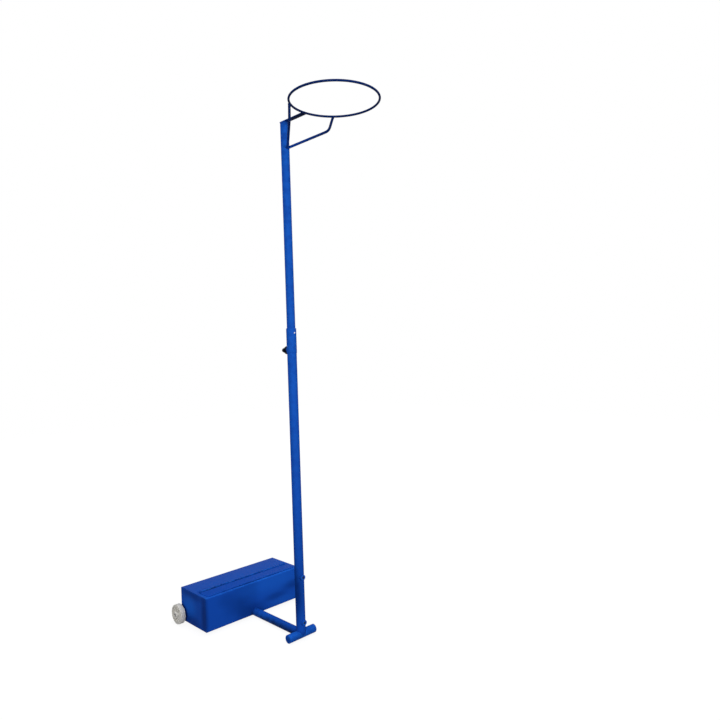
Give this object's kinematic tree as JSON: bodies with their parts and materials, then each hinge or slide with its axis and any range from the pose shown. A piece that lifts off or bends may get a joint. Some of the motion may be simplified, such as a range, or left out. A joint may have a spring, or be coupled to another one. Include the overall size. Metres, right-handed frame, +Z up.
{
  "type": "netball post",
  "caption": "Height-adjustable netball post with a braced ring on a telescopic pole, standing on a wheeled box of ballast weights.",
  "frame": {"origin": "the middle of the bounding box's foot, on the floor", "axes": "+Z is up, the ring points along -Y, the wheeled weight box is behind the pole along +Y, and +X is to the right seen from the front"},
  "size_m": [0.668, 1.186, 2.44],
  "materials": {
    "blue_paint": "glossy powder coat",
    "zinc": "bright zinc plate",
    "black_steel": "black oxide",
    "nylon": "moulded, light grey",
    "black_plastic": "moulded, black",
    "brass": "turned",
    "cast_iron": "as cast"
  },
  "bodies": {
    "base": {"cross_foot": "blue_paint", "foot_cap_left": "blue_paint", "foot_cap_right": "blue_paint", "leg_tube": "blue_paint", "pole_stub": "blue_paint", "lower_pole": "blue_paint", "pole_collar": "blue_paint", "clamp_boss": "blue_paint", "pole_boss_lower": "blue_paint", "pole_boss_upper": "blue_paint", "box_body": "blue_paint", "box_end_left": "blue_paint", "box_end_right": "blue_paint", "hinge_leaf_fixed": "blue_paint", "hinge_pin": "blue_paint", "axle": "blue_paint", "axle_spacer_left": "zinc", "axle_spacer_right": "zinc", "axle_washer_left": "zinc", "axle_washer_right": "zinc", "pole_screw_lower": "black_steel", "pole_screw_upper": "black_steel", "axle_clip_left": "black_steel", "axle_clip_right": "black_steel", "ballast_weight_1": "cast_iron", "ballast_weight_2": "cast_iron", "ballast_weight_3": "cast_iron", "ballast_weight_4": "cast_iron"},
    "mast_carrier": {"mast_plug": "black_plastic"},
    "mast_head": {"mast_tube": "blue_paint", "mast_cap": "blue_paint", "ring_arm": "blue_paint", "ring": "blue_paint", "brace_left": "blue_paint", "brace_right": "blue_paint"},
    "clamp_tip": {"clamp_pad": "brass"},
    "clamp_handle": {"clamp_screw": "zinc", "clamp_knob": "black_plastic"},
    "lid": {"box_lid": "blue_paint", "hinge_leaf_moving": "blue_paint"},
    "left_wheel": {"wheel_left": "nylon"},
    "right_wheel": {"wheel_right": "nylon"}
  },
  "joints": [
    {"name": "mast_height", "type": "slide", "parent": "base", "child": "mast_carrier", "axis": [0, 0, 1], "range_m": [-0.34, 0.61]},
    {"name": "mast_swivel", "type": "hinge", "parent": "mast_carrier", "child": "mast_head", "pos_m": [0, -0.048, 1.571], "axis": [0, 0, 1], "continuous": true},
    {"name": "clamp_travel", "type": "slide", "parent": "base", "child": "clamp_tip", "axis": [0, 1, 0], "range_m": [0, 0.003]},
    {"name": "clamp_turn", "type": "hinge", "parent": "clamp_tip", "child": "clamp_handle", "pos_m": [0, -0.005, 1.369], "axis": [0, 1, 0], "range_deg": [0, 720]},
    {"name": "lid_hinge", "type": "hinge", "parent": "base", "child": "lid", "pos_m": [0, 0.408, 0.1816], "axis": [-1, 0, 0], "range_deg": [0, 175]},
    {"name": "wheel_left_spin", "type": "hinge", "parent": "base", "child": "left_wheel", "pos_m": [-0.313, 0.544, 0.049], "axis": [1, 0, 0], "continuous": true},
    {"name": "wheel_right_spin", "type": "hinge", "parent": "base", "child": "right_wheel", "pos_m": [0.313, 0.544, 0.049], "axis": [1, 0, 0], "continuous": true}
  ],
  "couplings": [
    {"joint": "clamp_travel", "follows": "clamp_turn", "m_per_rad": 0.00023873}
  ]
}
